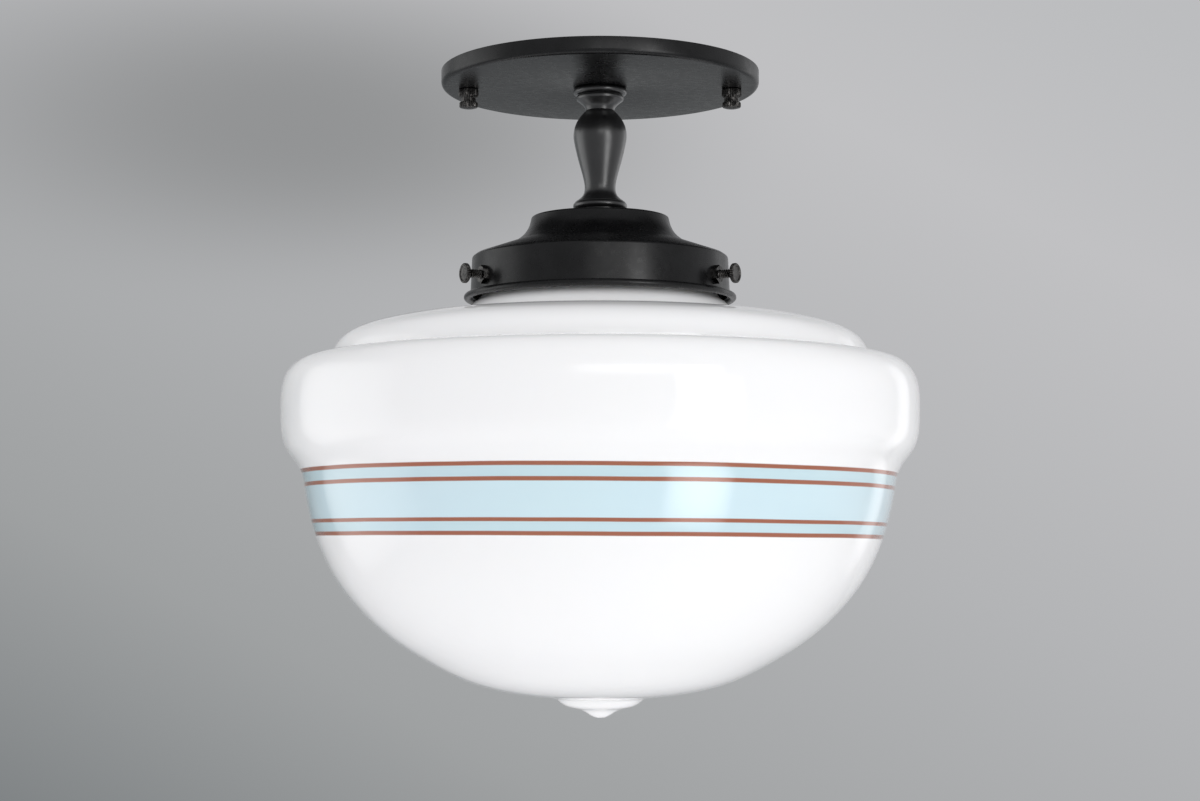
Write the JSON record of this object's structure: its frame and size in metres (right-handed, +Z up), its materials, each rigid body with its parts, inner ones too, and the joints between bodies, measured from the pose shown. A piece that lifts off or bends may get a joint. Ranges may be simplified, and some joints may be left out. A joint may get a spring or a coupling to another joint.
{
  "type": "semi flush ceiling light",
  "caption": "Semi flush ceiling light: round canopy, short turned stem and a stepped, bowl-shaped opal glass shade held by thumb screws in a flared holder, with thin painted bands.",
  "frame": {"origin": "on the light's own axis at the ceiling plane, midway between the bracket's two slots", "axes": "+Z up, out of the bracket's top face into the ceiling box; +X along the bracket to the right cap nut; the light faces -Y"},
  "size_m": [0.2514, 0.2514, 0.261],
  "materials": {
    "black_metal": "satin black paint on turned and spun steel",
    "zinc_steel": "zinc plated",
    "green_steel": "green dyed zinc plate, the usual earth screw",
    "aluminium": "plain turned",
    "porcelain": "white glazed porcelain, opaque",
    "brass": "pressed sheet",
    "opal_glass": "glossy white opal glass with hand banded pale blue and copper stripes",
    "frosted_glass": "etched inside"
  },
  "bodies": {
    "ceiling_bracket": {"crossbar": "zinc_steel", "canopy_studs": "zinc_steel", "stud_lock_nuts": "zinc_steel", "earth_screw": "green_steel"},
    "fixture": {"canopy": "black_metal", "upper_nipple": "zinc_steel", "upper_lock_washer": "zinc_steel", "upper_lock_nut": "zinc_steel", "check_ring": "black_metal", "stem": "black_metal", "lower_nipple": "zinc_steel", "shade_holder": "black_metal", "lower_lock_washer": "zinc_steel", "lower_lock_nut": "zinc_steel", "screw_nuts": "black_metal", "socket_cap": "aluminium", "socket_body": "porcelain", "screw_shell": "brass", "centre_contact": "brass", "socket_screws": "zinc_steel", "glass_shade": "opal_glass"},
    "cap_nut_left": {"cap_nut_left": "black_metal"},
    "cap_nut_right": {"cap_nut_right": "black_metal"},
    "bulb_advance": {"bulb_tip": "brass"},
    "bulb": {"bulb_base": "zinc_steel", "bulb_glass": "frosted_glass"},
    "thumb_screw_rear_advance": {"thumb_screw_shank_rear": "black_metal"},
    "thumb_screw_rear": {"thumb_screw_head_rear": "black_metal"},
    "thumb_screw_left_advance": {"thumb_screw_shank_left": "black_metal"},
    "thumb_screw_left": {"thumb_screw_head_left": "black_metal"},
    "thumb_screw_right_advance": {"thumb_screw_shank_right": "black_metal"},
    "thumb_screw_right": {"thumb_screw_head_right": "black_metal"}
  },
  "joints": [
    {"name": "canopy_drop", "type": "slide", "parent": "ceiling_bracket", "child": "fixture", "axis": [0, 0, -1], "range_m": [0, 0.00476]},
    {"name": "cap_nut_left_turn", "type": "hinge", "parent": "fixture", "child": "cap_nut_left", "pos_m": [-0.0527, 0, -0.0065], "axis": [0, 0, -1], "range_deg": [0, 2160.5]},
    {"name": "cap_nut_right_turn", "type": "hinge", "parent": "fixture", "child": "cap_nut_right", "pos_m": [0.0527, 0, -0.0065], "axis": [0, 0, -1], "range_deg": [0, 2160.5]},
    {"name": "thumb_screw_rear_advance", "type": "slide", "parent": "fixture", "child": "thumb_screw_rear_advance", "axis": [0, 1, 0], "range_m": [0, 0.00397]},
    {"name": "thumb_screw_rear_turn", "type": "hinge", "parent": "thumb_screw_rear_advance", "child": "thumb_screw_rear", "pos_m": [0, 0.0591, -0.0845], "axis": [0, 1, 0], "range_deg": [0, 1800.5]},
    {"name": "thumb_screw_left_advance", "type": "slide", "parent": "fixture", "child": "thumb_screw_left_advance", "axis": [-0.866, -0.5, 0], "range_m": [0, 0.00397]},
    {"name": "thumb_screw_left_turn", "type": "hinge", "parent": "thumb_screw_left_advance", "child": "thumb_screw_left", "pos_m": [-0.05118, -0.02955, -0.0845], "axis": [-0.866, -0.5, 0], "range_deg": [0, 1800.5]},
    {"name": "thumb_screw_right_advance", "type": "slide", "parent": "fixture", "child": "thumb_screw_right_advance", "axis": [0.866, -0.5, 0], "range_m": [0, 0.00397]},
    {"name": "thumb_screw_right_turn", "type": "hinge", "parent": "thumb_screw_right_advance", "child": "thumb_screw_right", "pos_m": [0.05118, -0.02955, -0.0845], "axis": [0.866, -0.5, 0], "range_deg": [0, 1800.5]},
    {"name": "bulb_advance", "type": "slide", "parent": "fixture", "child": "bulb_advance", "axis": [0, 0, -1], "range_m": [0, 0.01634]},
    {"name": "bulb_turn", "type": "hinge", "parent": "bulb_advance", "child": "bulb", "pos_m": [0, 0, -0.0952], "axis": [0, 0, -1], "range_deg": [0, 1620]}
  ],
  "couplings": [
    {"joint": "cap_nut_left_turn", "follows": "canopy_drop", "rad_per_m": 7915.8},
    {"joint": "cap_nut_right_turn", "follows": "canopy_drop", "rad_per_m": 7915.8},
    {"joint": "thumb_screw_rear_turn", "follows": "thumb_screw_rear_advance", "rad_per_m": 7915.8},
    {"joint": "thumb_screw_left_turn", "follows": "thumb_screw_left_advance", "rad_per_m": 7915.8},
    {"joint": "thumb_screw_right_turn", "follows": "thumb_screw_right_advance", "rad_per_m": 7915.8},
    {"joint": "bulb_advance", "follows": "bulb_turn", "m_per_rad": 0.00057757}
  ]
}
